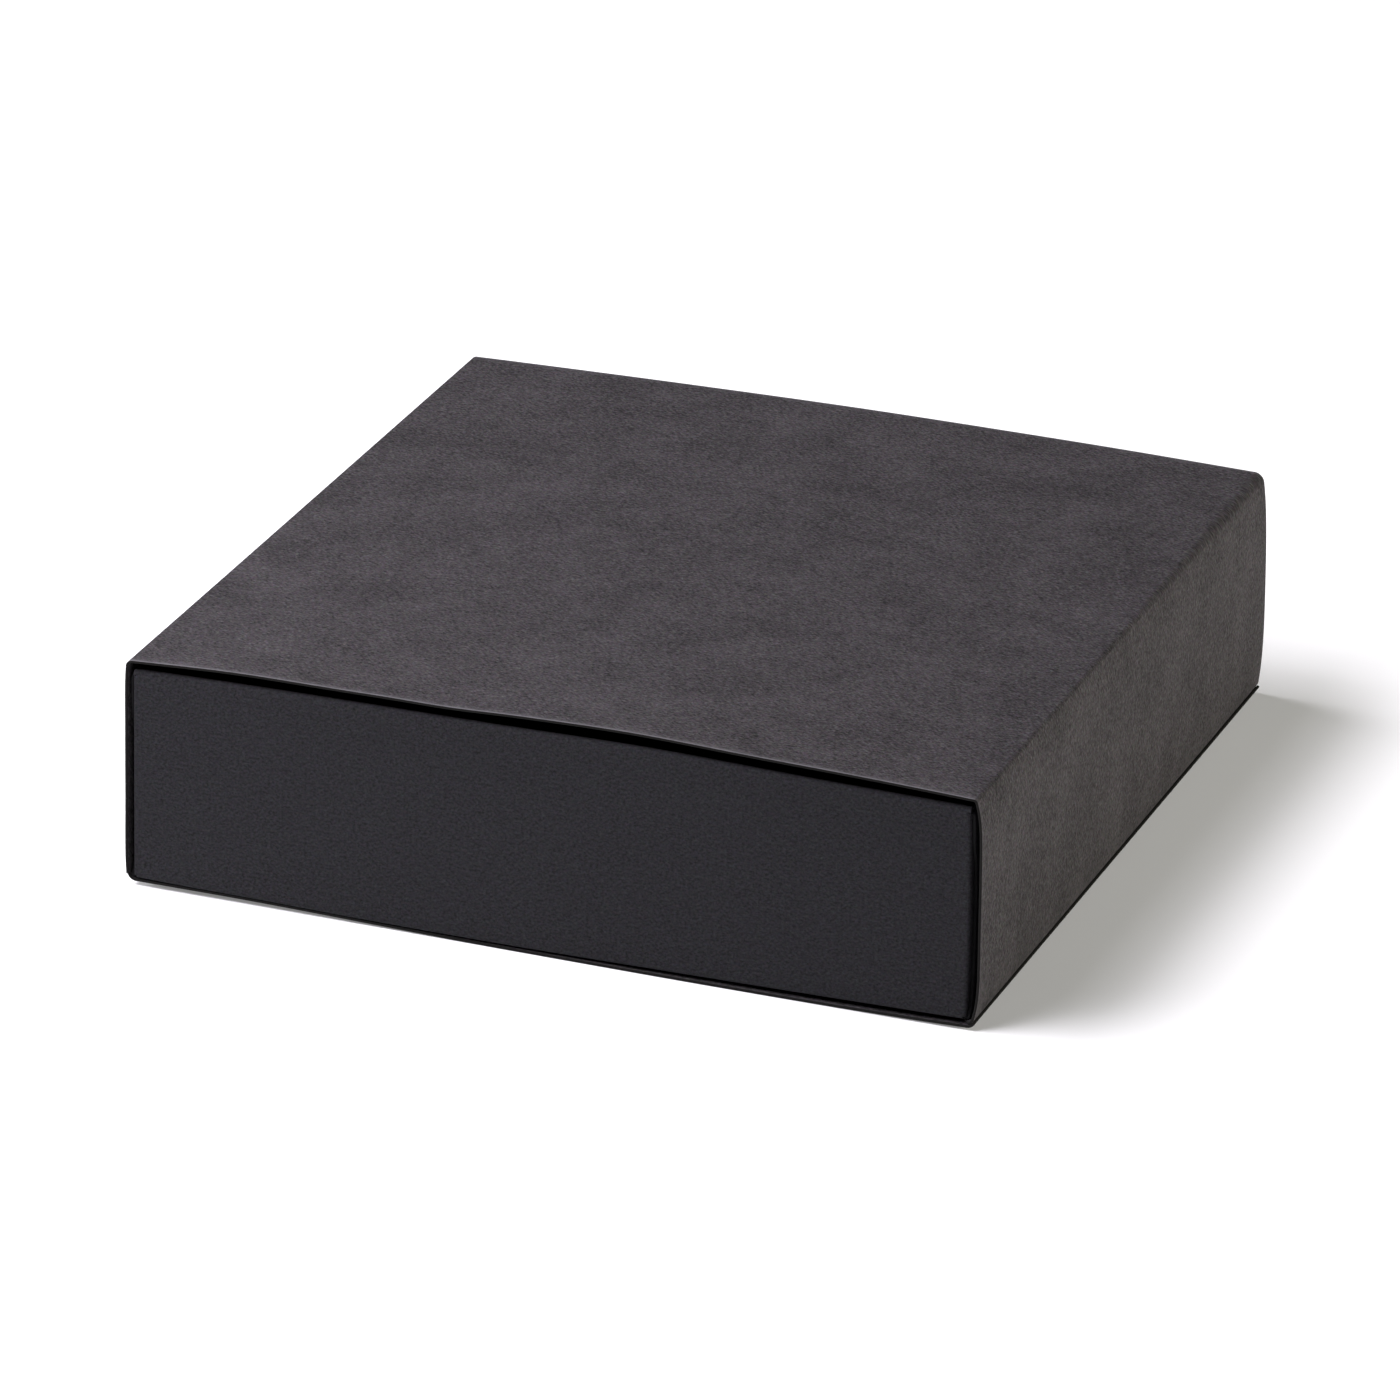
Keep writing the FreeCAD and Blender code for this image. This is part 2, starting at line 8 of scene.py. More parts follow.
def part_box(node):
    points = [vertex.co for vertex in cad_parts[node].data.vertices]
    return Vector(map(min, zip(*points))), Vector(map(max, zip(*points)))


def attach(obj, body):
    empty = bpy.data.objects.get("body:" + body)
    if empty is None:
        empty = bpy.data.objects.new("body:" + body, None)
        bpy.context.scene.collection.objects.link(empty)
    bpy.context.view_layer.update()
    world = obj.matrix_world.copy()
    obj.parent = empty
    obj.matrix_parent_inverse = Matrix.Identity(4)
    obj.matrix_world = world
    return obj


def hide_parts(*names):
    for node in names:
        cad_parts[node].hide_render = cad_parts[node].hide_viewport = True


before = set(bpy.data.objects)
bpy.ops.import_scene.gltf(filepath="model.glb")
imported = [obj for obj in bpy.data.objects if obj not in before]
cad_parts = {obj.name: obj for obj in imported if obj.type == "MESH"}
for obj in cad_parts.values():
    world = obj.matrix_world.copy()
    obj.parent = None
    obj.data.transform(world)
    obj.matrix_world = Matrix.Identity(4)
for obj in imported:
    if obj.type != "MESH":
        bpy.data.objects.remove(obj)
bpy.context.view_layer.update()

# A flat drawer box of black paperboard: a tray slides in a sleeve that is open at both ends.
# Each of the two is one sheet, folded as the real one is.  Shapes are worked out in millimetres in
# the frame's axes: +Z up, +Y to the back, +X to the right.  Where a pair of values is said to be
# "front, back", it is blended from the front end of the box to the back end.

MM = 0.001


def box_of(name):
    """A CAD object's low and high corner in millimetres."""
    return tuple(np.array(corner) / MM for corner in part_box(name))


# ---------------------------------------------------------------------------- frame measures

SIDE_ROOM = 0.55  # how far the sleeve's side panels bow out past the sharp corners of its creases

SLEEVE_LOW, SLEEVE_HIGH = box_of("sleeve")
TRAY_LOW, TRAY_HIGH = box_of("tray")
SLEEVE_END = SLEEVE_HIGH[1]
SLEEVE_HALF = (SLEEVE_HIGH[0] - SLEEVE_LOW[0]) / 2 - SIDE_ROOM
TRAY_END = TRAY_HIGH[1]
TRAY_HALF = TRAY_HIGH[0]
TRAY_BASE = TRAY_LOW[2]
TRAY_TOP = TRAY_HIGH[2]
TOUCH = 1e-6  # two lengths this close are the same

# ---------------------------------------------------------------------------------- functions


def smooth(value, start, end):
    """0 at start, 1 at end, with level ends."""
    t = np.clip((np.asarray(value, float) - start) / (end - start), 0.0, 1.0)
    return t * t * (3.0 - 2.0 * t)


def hump(value, centre, width):
    return np.exp(-(((np.asarray(value, float) - centre) / width) ** 2))


def mix(a, b, t):
    return a + (b - a) * t


def arch_over(t):
    """0 at both ends of 0 to 1, and 1 in the middle."""
    return 4 * t * (1 - t)


def spread(start, end, count, ends=()):
    """Evenly spaced numbers from start to end, and extra ones at these distances from both ends."""
    near = [start + d for d in ends] + [end - d for d in ends]
    clear = 1.4 * max(ends, default=0.0)
    even = [x for x in np.linspace(start, end, count) if start + clear < x < end - clear]
    return np.array(sorted({round(float(x), 6) for x in [start, end, *near, *even]}))


def eased(start, end, count, bias=0.35):
    """Numbers from start to end that lie closer together near both ends."""
    t = np.linspace(0, 1, count)
    return start + (end - start) * ((1 - bias) * t + bias * (1 - np.cos(math.pi * t)) / 2)


class Ripple:
    """A gentle unevenness of a board panel: a few long waves, the same in each run."""

    def __init__(self, seed, height, shortest, longest, count=9):
        rng = np.random.default_rng(seed)
        length = rng.uniform(shortest, longest, count)
        turn = rng.uniform(0, 2 * math.pi, count)
        self.kx = 2 * math.pi / length * np.cos(turn)
        self.ky = 2 * math.pi / length * np.sin(turn)
        self.phase = rng.uniform(0, 2 * math.pi, count)
        self.height = height / math.sqrt(count / 2)

    def at(self, a, b):
        total = np.zeros_like(np.asarray(a, float) + np.asarray(b, float))
        for kx, ky, phase in zip(self.kx, self.ky, self.phase):
            total = total + np.sin(kx * a + ky * b + phase)
        return total * self.height


# -------------------------------------------------------------------------------- board sheet

SHARP = math.radians(50)  # a wider angle between faces is shaded as an edge
WEAR_AND_HIGHLIGHT_INSIDE = 0.6  # how much wear and painted highlight the outer side gets next to the rim
WEAR_AND_HIGHLIGHT_ARRIS = 0.8  # how much wear and painted highlight the first step over the edge gets


def new_object(name, vertices, faces):
    """A smooth-shaded object of this mesh, given in millimetres."""
    mesh = bpy.data.meshes.new(name)
    mesh.from_pydata((np.asarray(vertices) * MM).tolist(), [], faces)
    mesh.polygons.foreach_set("use_smooth", [True] * len(faces))
    mesh.update()
    mesh.set_sharp_from_angle(angle=SHARP)
    piece = bpy.data.objects.new(name, mesh)
    bpy.context.scene.collection.objects.link(piece)
    return piece


class Board:
    """A sheet of board: quads on its outer side, thickened inward and closed round the edges."""

    def __init__(self, thickness, edge_radius):
        self.thickness = thickness
        self.edge_radius = edge_radius
        self.index = {}
        self.flat, self.points, self.facing = [], [], []
        self.quads = []

    def vertex(self, flat, fold):
        key = (round(flat[0], 4), round(flat[1], 4))
        if key not in self.index:
            point, facing = fold(*flat)
            self.index[key] = len(self.flat)
            self.flat.append(flat)
            self.points.append(point)
            self.facing.append(facing)
        return self.index[key]

    def patch(self, us, vs, fold):
        """A rectangle of the flat sheet.  fold gives a flat place's point and the way it faces."""
        grid = [[self.vertex((float(u), float(v)), fold) for v in vs] for u in us]
        for left, right in zip(grid, grid[1:]):
            for j in range(len(vs) - 1):
                self.quads.append((left[j], right[j], right[j + 1], left[j + 1]))

    def build(self, name, wear_and_highlight_at=None, bend_at=None, warp=None):
        """The closed mesh: outer side, inner side, and rounded edges with the board's core between.

        The two functions say, at places of the flat sheet, how much wear and painted highlight the
        edges get and how bent the board is.
        """
        points = np.array(self.points)
        facing = np.array(self.facing)
        facing /= np.linalg.norm(facing, axis=1)[:, None]
        flat = np.array(self.flat)
        quads = np.array(self.quads)

        # Quads turned so that they face outward.
        a, b, c, d = (points[quads[:, k]] for k in range(4))
        way = (np.cross(c - a, d - b) * facing[quads].sum(axis=1)).sum(axis=1)
        quads = np.where(way[:, None] < 0, quads[:, ::-1], quads)

        # The rim is every side that only one quad has.  Each of its vertices gets a way out of the
        # sheet.
        sides = {(quad[k], quad[(k + 1) % 4]): True for quad in quads for k in range(4)}
        rim = [(p, q) for p, q in sides if (q, p) not in sides]
        outward = np.zeros_like(points)
        for p, q in rim:
            away = np.cross(points[q] - points[p], facing[p] + facing[q])
            away /= max(np.linalg.norm(away), 1e-9)
            outward[p] += away
            outward[q] += away
        lengths = np.linalg.norm(outward, axis=1)
        on_rim = lengths > TOUCH
        outward[on_rim] /= lengths[on_rim][:, None]

        # Round each cut edge: (depth below the outer side, distance inside the true edge).
        r, t = self.edge_radius, self.thickness
        quarter = [(r * (1 - math.cos(x)), r * (1 - math.sin(x))) for x in np.radians((0, 45, 90))]
        profile = quarter + [(t - depth, inset) for depth, inset in reversed(quarter)]
        count = len(points)
        outer = points - outward * profile[0][1]
        inner = points - facing * t - outward * profile[0][1]
        order = np.array(sorted({p for edge in rim for p in edge}))
        rows = {p: n for n, p in enumerate(order)}
        rings = [points[order] - facing[order] * depth - outward[order] * inset
                 for depth, inset in profile[1:-1]]
        vertices = np.vstack([outer, inner, *rings])
        start = [count * 2 + n * len(order) for n in range(len(rings))]

        def ring(level, p):
            if level == 0:
                return int(p)
            if level == len(profile) - 1:
                return int(count + p)
            return int(start[level - 1] + rows[p])

        faces = [tuple(int(x) for x in quad) for quad in quads]
        faces += [tuple(int(count + x) for x in quad[::-1]) for quad in quads]
        material = [0] * len(faces)
        for p, q in rim:
            for level in range(len(profile) - 1):
                faces.append((ring(level, q), ring(level, p),
                              ring(level + 1, p), ring(level + 1, q)))
                # The face's colour reaches over the outer arris; the rest is the core.
                material.append(0 if level == 0 else 1)

        values = {}
        if wear_and_highlight_at is not None:
            # Wear and painted highlight: a lighter colour on the arrises, strongest where they face
            # the lamps.
            wear_and_highlight = np.zeros(len(vertices))
            wear_and_highlight[:count] = wear_and_highlight_at(flat) * np.where(on_rim, 1.0, WEAR_AND_HIGHLIGHT_INSIDE)
            wear_and_highlight[count * 2:start[1]] = WEAR_AND_HIGHLIGHT_ARRIS * wear_and_highlight[order]
            values["wear_and_highlight"] = wear_and_highlight
        if bend_at is not None:
            bend = bend_at(flat)
            values["bend"] = np.concatenate([bend, bend, *[bend[order]] * len(rings)])
        if warp is not None:
            vertices = warp(vertices)

        piece = new_object(name, vertices, faces)
        mesh = piece.data
        mesh.polygons.foreach_set("material_index", material)
        uv = np.vstack([flat, flat, *[flat[order]] * len(rings)])
        corners = np.empty(len(mesh.loops), np.int32)
        mesh.loops.foreach_get("vertex_index", corners)
        layer = mesh.uv_layers.new(name="Sheet")
        layer.data.foreach_set("uv", (uv[corners] * MM).astype(np.float32).ravel())
        for title, numbers in values.items():
            attribute = mesh.attributes.new(title, "FLOAT", "POINT")
            attribute.data.foreach_set("value", numbers.astype(np.float32))
        mesh.update()
        return piece


# ------------------------------------------------------------------------------------- sleeve

SLEEVE_BOARD = 0.5
SLEEVE_EDGE_RADIUS = 0.14
FLAP_WIDTH = 22.0
SEAM_GAP = 0.15

# The creases' sharp corners, in from the half width: front, back.
TOP_LEFT_INSET = (0.3, 0.4)
TOP_RIGHT_INSET = (0.7, 1.0)
LOW_RIGHT_INSET = 0.5
# The side panels' bow and its fullness, and the creases' radii: front, back.
LEFT_BOW, LEFT_FULLNESS = (0.34, 0.39), 8.0
RIGHT_BOW, RIGHT_FULLNESS = (1.2, 0.95), (6.0, 3.5)
LOW_LEFT_RADIUS, TOP_LEFT_RADIUS = (1.4, 1.5), (1.1, 0.9)
TOP_RIGHT_RADIUS, LOW_RIGHT_RADIUS = (0.5, 1.6), 1.0
TOP_RIGHT_WIDENS = (0.3, 1.0)  # the part of the length over which that radius grows
CREASE_HANDLE = 0.56  # makes a crease's curve close to a quarter circle

# The bottom panel turns up at the left: how much, and between which distances from the middle.
LEFT_LIFT, LEFT_LIFT_SPAN = 0.82, (5.0, 62.0)
# And at the right, along a parabola: how much after how far, and from where.
RIGHT_LIFT, RIGHT_LIFT_SPAN, RIGHT_LIFT_START = 0.45, 39.0, 36.0
# Its free edge curls up round the crease of the glue flap.
CURL = math.radians(56.0)
CURL_BLEND = 8.0

# The top panel's height at its creases, its arch and its lean: in front, and behind.
FRONT_HEIGHT, FRONT_ARCH, FRONT_LEAN = 40.9, 1.5, 0.15
REAR_HEIGHT, REAR_ARCH, REAR_LEAN = 41.25, 1.0, 0.2
# Its front edge is a little wavy: (height, place, width) of each wave, and how far back they reach.
FRONT_WAVES = ((0.3, -56, 14), (-0.23, -17, 8), (0.43, 16, 16))
WAVES_REACH = 26.0
TOP_BEGINS = (30.0, 40.5)  # heights between which the side passes into the top
SIDE_BEGINS = (70.0, 74.0)  # distances from the middle between which the top passes into the side
SIDE_HEIGHT = 41.0
SIDE_RIPPLE_STRETCH = 1.3

# The bottom's front edge is cut a little short on the left: by how much, from where to where, and
# how far back the stretched board makes up for it.
SHORT_CUT, SHORT_CUT_SPAN, SHORT_CUT_REACH = 0.45, (-30.0, 25.0), 3.0
# The glue flap's ends are cut short of the panels next to the crease, and slanting at its free
# edge.
FLAP_RECESS, FLAP_RECESS_SPAN = 1.8, (0.9, 3.0)
FLAP_SLANT, FLAP_SLANT_WIDTH = 4.0, 7.0
FLAP_END_REACH = 14.0

# How much wear and painted highlight the cut edges of the panels get, and how far in it goes. The
# top panel's edge, which faces the lamps, gets the most painted highlight.
SLEEVE_WEAR_AND_HIGHLIGHT = {"top": 1.0, "left": 0.3, "right": 0.25, "bottom": 0.0, "flap": 0.0}
WEAR_AND_HIGHLIGHT_REACH = 0.45

# The mesh: steps across each part of the outline and along the sleeve.
BOTTOM_STEPS, SIDE_STEPS, TOP_STEPS, FLAP_STEPS = 44, 18, 66, 14
CREASE_STEPS, CURL_STEPS = 8, 9
SLEEVE_ROWS, SLEEVE_END_ROWS = 62, (0.3, 0.8, 1.8, 3.4)

top_ripple = Ripple(11, 0.05, 30, 85)
side_ripple = Ripple(12, 0.03, 22, 60)


def sleeve_bottom(x):
    """Height of the bottom panel's lower side."""
    x = np.asarray(x, float)
    right = np.clip((x - RIGHT_LIFT_START) / RIGHT_LIFT_SPAN, 0.0, None) ** 2
    return LEFT_LIFT * smooth(-x, *LEFT_LIFT_SPAN) + RIGHT_LIFT * right


def top_line(x, back):
    """Height of the top panel's outer side between its two creases."""
    u = np.asarray(x, float) / SLEEVE_HALF
    arch = 1.0 - u * u
    front = FRONT_HEIGHT + FRONT_ARCH * arch + FRONT_LEAN * u * arch
    rear = REAR_HEIGHT + REAR_LEAN * u + REAR_ARCH * arch
    return mix(front, rear, back)


def front_wave(x):
    return sum(height * hump(x, place, width) for height, place, width in FRONT_WAVES)


def panel(start, end, bow, fullness):
    """A panel of the sleeve seen from the front, bowed outward between its two corners.

    With a fullness of 2 the bow is a plain arch.  Higher, it is flatter in the middle and turns in
    sooner next to the creases, where the scored board is stiff.
    """
    a, b = np.array(start, float), np.array(end, float)
    along = (b - a) / np.linalg.norm(b - a)
    out = np.array([-along[1], along[0]])

    def point(t):
        t = np.asarray(t, float)[..., None]
        return a + (b - a) * t + out * bow * (1 - np.abs(2 * t - 1) ** fullness)

    point.length = float(np.linalg.norm(b - a))
    return point


def crease(before, after, t_before, t_after):
    """The rounded fold from one panel to the next."""
    step = 1e-3
    p, q = before(t_before), after(t_after)
    way_in = p - before(t_before - step)
    way_out = after(t_after + step) - q
    way_in /= np.linalg.norm(way_in)
    way_out /= np.linalg.norm(way_out)
    # The corner where the two tangents meet.
    cross = way_in[0] * way_out[1] - way_in[1] * way_out[0]
    gap = q - p
    reach_in = (gap[0] * way_out[1] - gap[1] * way_out[0]) / cross
    reach_out = (way_in[0] * gap[1] - way_in[1] * gap[0]) / cross
    h1 = p + way_in * reach_in * CREASE_HANDLE
    h2 = q - way_out * reach_out * CREASE_HANDLE
    t = np.linspace(0, 1, CREASE_STEPS + 1)[1:-1][:, None]
    return ((1 - t) ** 3 * p + 3 * (1 - t) ** 2 * t * h1 + 3 * (1 - t) * t ** 2 * h2
            + t ** 3 * q)


def sleeve_outline(back):
    """The outer side of the sleeve's sheet at one place along it: points, bend, panels' names.

    It runs from the bottom panel's free edge to the left, up, over the top, down the right side and
    into the glue flap above the bottom panel.  back is 0 at the front end and 1 at the back end.
    """
    half = SLEEVE_HALF
    left_x = -half + mix(*TOP_LEFT_INSET, back)
    right_x = half - mix(*TOP_RIGHT_INSET, back)
    low_left = (-half, float(sleeve_bottom(-half)))
    top_left = (left_x, float(top_line(left_x, back)))
    top_right = (right_x, float(top_line(right_x, back)))
    low_right = (half - LOW_RIGHT_INSET, float(sleeve_bottom(half)) + SLEEVE_BOARD + SEAM_GAP)
    left = panel(low_left, top_left, mix(*LEFT_BOW, back), LEFT_FULLNESS)
    right = panel(top_right, low_right, mix(*RIGHT_BOW, back), mix(*RIGHT_FULLNESS, back))
    r_low_left, r_top_left = mix(*LOW_LEFT_RADIUS, back), mix(*TOP_LEFT_RADIUS, back)
    r_top_right = mix(*TOP_RIGHT_RADIUS, smooth(back, *TOP_RIGHT_WIDENS))
    r_low_right = LOW_RIGHT_RADIUS

    curl_radius = r_low_right + SEAM_GAP + SLEEVE_BOARD
    curl_x, curl_z = low_right[0] - r_low_right, low_right[1] + r_low_right
    angles = np.linspace(CURL, 0, CURL_STEPS)
    curl = np.stack([curl_x + curl_radius * np.sin(angles),
                     curl_z - curl_radius * np.cos(angles)], -1)

    def top(t):
        x = mix(left_x, right_x, np.asarray(t, float))
        return np.stack([x, top_line(x, back)], -1)

    def bottom(t):
        x = mix(curl_x, low_left[0], np.asarray(t, float))
        # Level with the curl at its start.
        sink = curl[-1][1] - float(sleeve_bottom(curl_x))
        sunk = sink * (1 - smooth(curl_x - x, 0.0, CURL_BLEND))
        return np.stack([x, sleeve_bottom(x) + sunk], -1)

    def flap(t):
        x = mix(low_right[0], half - FLAP_WIDTH, np.asarray(t, float))
        return np.stack([x, sleeve_bottom(x) + SLEEVE_BOARD + SEAM_GAP], -1)

    left_length, right_length, top_length = left.length, right.length, 2 * half
    bottom_length = curl_x - low_left[0]
    # The part of each panel where its crease ends or starts.
    bottom_to = 1 - r_low_left / bottom_length
    left_from, left_to = r_low_left / left_length, 1 - r_top_left / left_length
    top_from, top_to = r_top_left / top_length, 1 - r_top_right / top_length
    right_from, right_to = r_top_right / right_length, 1 - r_low_right / right_length
    flap_from = r_low_right / FLAP_WIDTH
    parts = [
        # points, bent or flat, panel
        (curl[:-1], 1.0, "bottom"),
        (bottom(eased(0, bottom_to, BOTTOM_STEPS)), 0.0, "bottom"),
        (crease(bottom, left, bottom_to, left_from), 1.0, "bottom"),
        (left(eased(left_from, left_to, SIDE_STEPS)), 0.0, "left"),
        (crease(left, top, left_to, top_from), 1.0, "top"),
        (top(eased(top_from, top_to, TOP_STEPS)), 0.0, "top"),
        (crease(top, right, top_to, right_from), 1.0, "right"),
        (right(eased(right_from, right_to, SIDE_STEPS)), 0.0, "right"),
        (crease(right, flap, right_to, flap_from), 1.0, "flap"),
        (flap(eased(flap_from, 1, FLAP_STEPS)), 0.0, "flap"),
    ]
    points = np.concatenate([p for p, _, _ in parts])
    bend = np.concatenate([np.full(len(p), bent) for p, bent, _ in parts])
    names = [name for p, _, name in parts for _ in p]
    return points, bend, names


def make_sleeve():
    rows = spread(-SLEEVE_END, SLEEVE_END, SLEEVE_ROWS, ends=SLEEVE_END_ROWS)
    middle, bend, part = sleeve_outline(0.5)
    steps = np.linalg.norm(np.diff(middle, axis=0), axis=1)
    flat_s = np.concatenate([[0.0], np.cumsum(steps)])
    number = {round(float(s), 4): n for n, s in enumerate(flat_s)}
    by_row = {}
    for y in rows:
        back = (y + SLEEVE_END) / (2 * SLEEVE_END)
        points, _, _ = sleeve_outline(back)
        x, z = points[:, 0], points[:, 1]
        on_side = smooth(np.abs(x), *SIDE_BEGINS)
        calm_top = np.clip(1.0 - (x / SLEEVE_HALF) ** 2, 0.0, 1.0)
        calm_side = arch_over(np.clip(z / SIDE_HEIGHT, 0, 1))
        outline = np.stack([
            x + np.sign(x) * on_side * calm_side * side_ripple.at(z * SIDE_RIPPLE_STRETCH, y),
            z + smooth(z, *TOP_BEGINS) * (front_wave(x) * hump(y, -SLEEVE_END, WAVES_REACH)
                                          + top_ripple.at(x, y) * calm_top)], -1)
        along = np.gradient(outline, axis=0)
        along /= np.linalg.norm(along, axis=1)[:, None]
        out = np.stack([-along[:, 1], along[:, 0]], -1)
        by_row[round(float(y), 4)] = (outline, out)

    def fold(s, y):
        n = number[round(s, 4)]
        outline, out = by_row[round(y, 4)]
        x, z = outline[n]
        inset = 0.0
        if part[n] == "bottom":
            inset = (SHORT_CUT * float(smooth(-x, *SHORT_CUT_SPAN))
                     * float(hump(y, -SLEEVE_END, SHORT_CUT_REACH)))
        if part[n] == "flap":
            to_free_edge = x - (SLEEVE_HALF - FLAP_WIDTH)
            cut = (FLAP_SLANT * max(0.0, 1 - to_free_edge / FLAP_SLANT_WIDTH)
                   + FLAP_RECESS * float(smooth(SLEEVE_HALF - x, *FLAP_RECESS_SPAN)))
            inset = cut * (float(1 - smooth(y, -SLEEVE_END, -SLEEVE_END + FLAP_END_REACH))
                           - float(smooth(y, SLEEVE_END - FLAP_END_REACH, SLEEVE_END)))
        return (x, y + inset, z), (out[n][0], 0.0, out[n][1])

    # Wear and painted highlight along the cut edges, fading inward from the board's ends.
    strength = np.array([SLEEVE_WEAR_AND_HIGHLIGHT[name] for name in part])

    def wear_and_highlight_at(flat):
        from_end = SLEEVE_END - np.abs(flat[:, 1])
        return np.interp(flat[:, 0], flat_s, strength) * np.exp(-from_end / WEAR_AND_HIGHLIGHT_REACH)

    def bend_at(flat):
        return np.interp(flat[:, 0], flat_s, bend)

    board = Board(SLEEVE_BOARD, SLEEVE_EDGE_RADIUS)
    board.patch(flat_s, rows, fold)
    return board.build("sleeve_visual", wear_and_highlight_at, bend_at)


# --------------------------------------------------------------------------------------- tray

TRAY_BOARD = 0.45
TRAY_EDGE_RADIUS = 0.07
TRAY_CREASE = 0.5
LAYER_GAP = 0.65  # between the two layers of a wall
FOOT_GAP = 0.15  # under the inner layer
WALL = TRAY_BOARD * 2 + LAYER_GAP

# A wall goes up, rolls over and comes down again inside.
ROLL = TRAY_BOARD + LAYER_GAP / 2
ROLL_HEIGHT = TRAY_TOP - ROLL
ROLL_HALF = TRAY_HALF - WALL - 0.1
LOW = TRAY_BASE + TRAY_CREASE
CREASE_ARC = TRAY_CREASE * math.pi / 2
ROLL_ARC = ROLL * math.pi
RISE = ROLL_HEIGHT - LOW
DROP = ROLL_HEIGHT - (TRAY_BASE + TRAY_BOARD + FOOT_GAP)
BOTTOM_X = TRAY_HALF - TRAY_CREASE
BOTTOM_Y = TRAY_END - TRAY_CREASE

# The front and back walls end in tabs that turn back between the layers of the side walls, and
# above each tab in a short ear.
TAB_CLEARANCE = (LAYER_GAP - TRAY_BOARD) / 2
TAB_CREASE = 0.55
TAB_ARC = TAB_CREASE * math.pi / 2
TAB_LENGTH = 16.0
FACE_HALF = TRAY_HALF - TRAY_BOARD - TAB_CLEARANCE
FACE_X = FACE_HALF - TAB_CREASE
EAR_HEIGHT = 0.9
EAR_X = FACE_HALF - 0.05
EAR_S = CREASE_ARC + (TRAY_TOP - EAR_HEIGHT - LOW)

# The side walls' ends are trimmed back between these heights, and their rolled edge sags there.
END_RECESS, END_RECESS_LOW, END_RECESS_HIGH = 1.0, (2.4, 4.0), (28.0, 35.0)
CORNER_SAG = 1.0
CORNER_REACH = 5.0

# The front wall's lower edge: its height in the middle, and how it rises to the left and the right
# as (rise, start, span, power).
FRONT_FOOT = 0.84
FOOT_RISES_LEFT = (0.70, 5.0, 67.0, 2.0)
FOOT_RISES_RIGHT = (0.85, -5.0, 75.0, 1.3)
SLIDE_GAP = 0.03
# Its upper edge: height, arch, lean, and the one wave as (height, place, width).
FRONT_TOP, FRONT_TOP_ARCH, FRONT_TOP_LEAN, FRONT_TOP_WAVE = 39.16, 0.62, -0.22, (0.46, 18, 20)
# How far the left wall is shifted: at the back, and at the foot and the top in front.
LEFT_SHIFT_BACK, LEFT_SHIFT_FOOT, LEFT_SHIFT_TOP, LEFT_SHIFT_POWER = -0.5, -0.55, -0.2, 1.3
LEFT_SHIFT_SPAN = (-20.0, 60.0)  # distances to the front over which the one passes into the other
RIGHT_SHIFT, RIGHT_BULGE = -0.05, 0.27
FLOOR_LIFT, FLOOR_LIFT_POWER = 0.08, 4
WALL_BOW = 0.5
# Half lengths of the walls, for what calms down towards the corners.
HALF_X, HALF_Y, HALF_Y_CALM = 75.0, 75.0, 76.0
SIDE_WALL, END_WALL = (68.0, 72.0), (70.0, 73.5)
SIDE_WALL_STRETCH, END_WALL_OFFSET = 1.2, 40

# The mesh: steps across and along the bottom and up and down a wall.
ACROSS_STEPS, ALONG_STEPS, ALONG_END_STEPS = 56, 54, (0.3, 1.2, 3.9)
FOLD_STEPS, RISE_STEPS, ROLL_STEPS, DROP_STEPS = 6, 17, 10, 13

wall_ripple = Ripple(21, 0.035, 25, 70)
floor_ripple = Ripple(22, 0.05, 35, 90)


def wall_profile(s, reach):
    """A wall seen from its end: (distance out, height) and facing.

    s is the way along the sheet from the bottom's edge.  reach is the distance of the wall's outer
    face from the middle of the tray.
    """
    if s <= CREASE_ARC:
        a = s / TRAY_CREASE
        return ((reach - TRAY_CREASE + TRAY_CREASE * math.sin(a), LOW - TRAY_CREASE * math.cos(a)),
                (math.sin(a), -math.cos(a)))
    s -= CREASE_ARC
    if s <= RISE:
        return (reach, LOW + s), (1.0, 0.0)
    s -= RISE
    if s <= ROLL_ARC:
        a = s / ROLL
        return ((reach - ROLL + ROLL * math.cos(a), ROLL_HEIGHT + ROLL * math.sin(a)),
                (math.cos(a), math.sin(a)))
    s -= ROLL_ARC
    return (reach - 2 * ROLL, ROLL_HEIGHT - s), (-1.0, 0.0)


def tray_fold(u, v):
    """Where a place of the tray's flat sheet comes to lie, and the way it faces."""
    side_x, side_y = math.copysign(1.0, u), math.copysign(1.0, v)
    if abs(v) <= BOTTOM_Y + TOUCH:
        if abs(u) <= BOTTOM_X + TOUCH:
            return (u, v, TRAY_BASE), (0.0, 0.0, -1.0)
        (out, z), (face_out, face_z) = wall_profile(abs(u) - BOTTOM_X, TRAY_HALF)
        near_end = max(0.0, abs(v) - (BOTTOM_Y - CORNER_REACH)) / CORNER_REACH
        trimmed = (END_RECESS * near_end * float(smooth(z, *END_RECESS_LOW))
                   * float(1 - smooth(z, *END_RECESS_HIGH)))
        sag = CORNER_SAG * near_end ** 2 * (max(0.0, z - LOW) / (TRAY_TOP - LOW)) ** 2
        return (side_x * out, v - side_y * trimmed, z - sag), (side_x * face_out, 0.0, face_z)
    s = abs(v) - BOTTOM_Y
    (out, z), (face_out, face_z) = wall_profile(s, TRAY_END)
    if abs(u) <= FACE_X + TOUCH or s > EAR_S - TOUCH:
        return (u, side_y * out, z), (0.0, side_y * face_out, face_z)
    t = abs(u) - FACE_X
    if t <= TAB_ARC:
        a = t / TAB_CREASE
        return ((side_x * (FACE_X + TAB_CREASE * math.sin(a)),
                 side_y * (TRAY_END - TAB_CREASE + TAB_CREASE * math.cos(a)), z),
                (side_x * math.sin(a), side_y * math.cos(a), 0.0))
    y = TRAY_END - TAB_CREASE - (t - TAB_ARC)
    return (side_x * FACE_HALF, side_y * y, z), (side_x, 0.0, 0.0)


